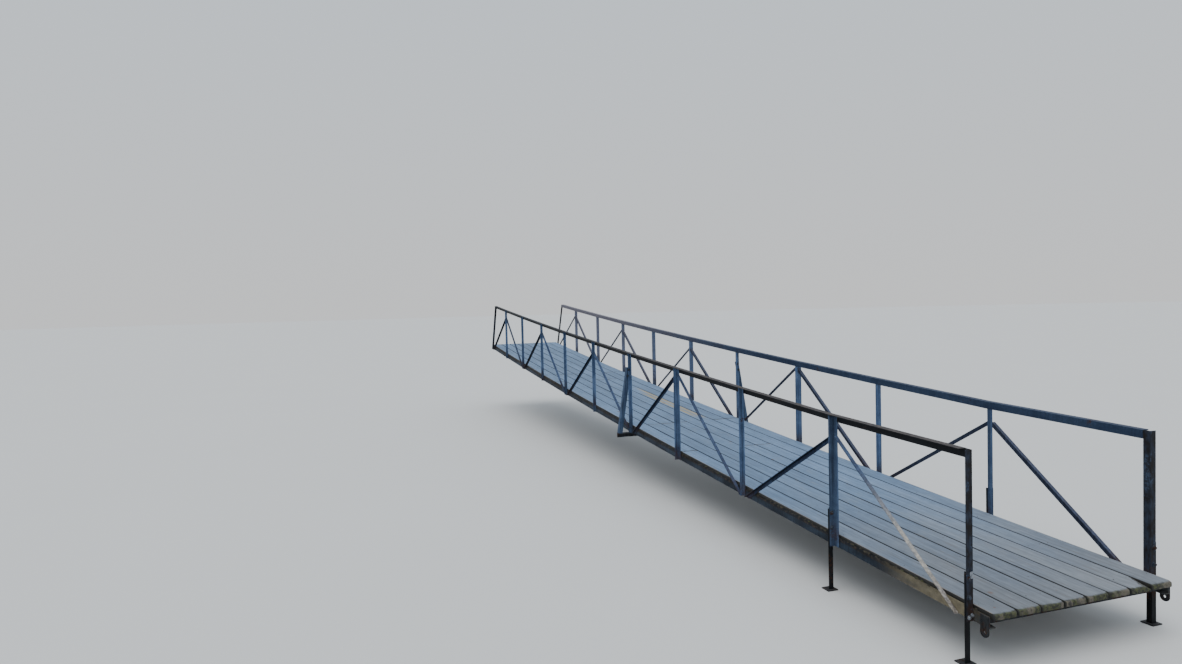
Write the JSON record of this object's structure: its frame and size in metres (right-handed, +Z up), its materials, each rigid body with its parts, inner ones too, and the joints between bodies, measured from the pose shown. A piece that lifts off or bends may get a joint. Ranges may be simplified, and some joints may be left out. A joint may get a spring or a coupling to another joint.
{
  "type": "railed gangway for a boat dock",
  "caption": "Sloping dock gangway: angle-steel frame with W-braced railings, lengthwise timber deck, outrigger struts and support legs at the dock end.",
  "frame": {"origin": "middle of the shore bearing's underside, where the gangway rests on the shore", "axes": "+X from the shore end to the dock end, level; +Y from the right railing to the left one as seen walking to the dock; +Z up, plumb like the posts"},
  "size_m": [14.445, 1.8998, 2.3196],
  "materials": {
    "deck_paint": "weathered grey deck paint on softwood planks, worn and mossy at the ends",
    "rail_steel": "weathered dark blue-grey paint with rust along the edges",
    "post_steel": "weathered slate-blue paint with rust at the feet",
    "brace_steel": "weathered slate-blue paint with rust at the ends",
    "chord_steel": "weathered paint stained brown and green by leaves and water",
    "leg_steel": "near-black weathered steel",
    "rusty_steel": "rusted plate with remains of paint",
    "hidden_steel": "dull dark steel with surface rust"
  },
  "bodies": {
    "root": {"deck_board_1": "deck_paint", "deck_board_2": "deck_paint", "deck_board_3": "deck_paint", "deck_board_4": "deck_paint", "deck_board_5": "deck_paint", "deck_board_6": "deck_paint", "deck_board_7": "deck_paint", "deck_board_8": "deck_paint", "floor_beams": "hidden_steel", "dock_end_beam": "hidden_steel", "shore_bearing": "hidden_steel", "outrigger_beam": "hidden_steel", "right_bottom_chord": "chord_steel", "left_bottom_chord": "chord_steel", "right_top_rail": "rail_steel", "left_top_rail": "rail_steel", "right_posts": "post_steel", "left_posts": "post_steel", "right_braces": "brace_steel", "left_braces": "brace_steel", "right_end_gusset": "rusty_steel", "left_end_gusset": "rusty_steel", "right_outrigger_strut": "post_steel", "left_outrigger_strut": "post_steel", "right_legs": "leg_steel", "left_legs": "leg_steel", "right_foot_plates": "rusty_steel", "left_foot_plates": "rusty_steel", "right_dock_lug": "rusty_steel", "left_dock_lug": "rusty_steel"}
  },
  "joints": []
}
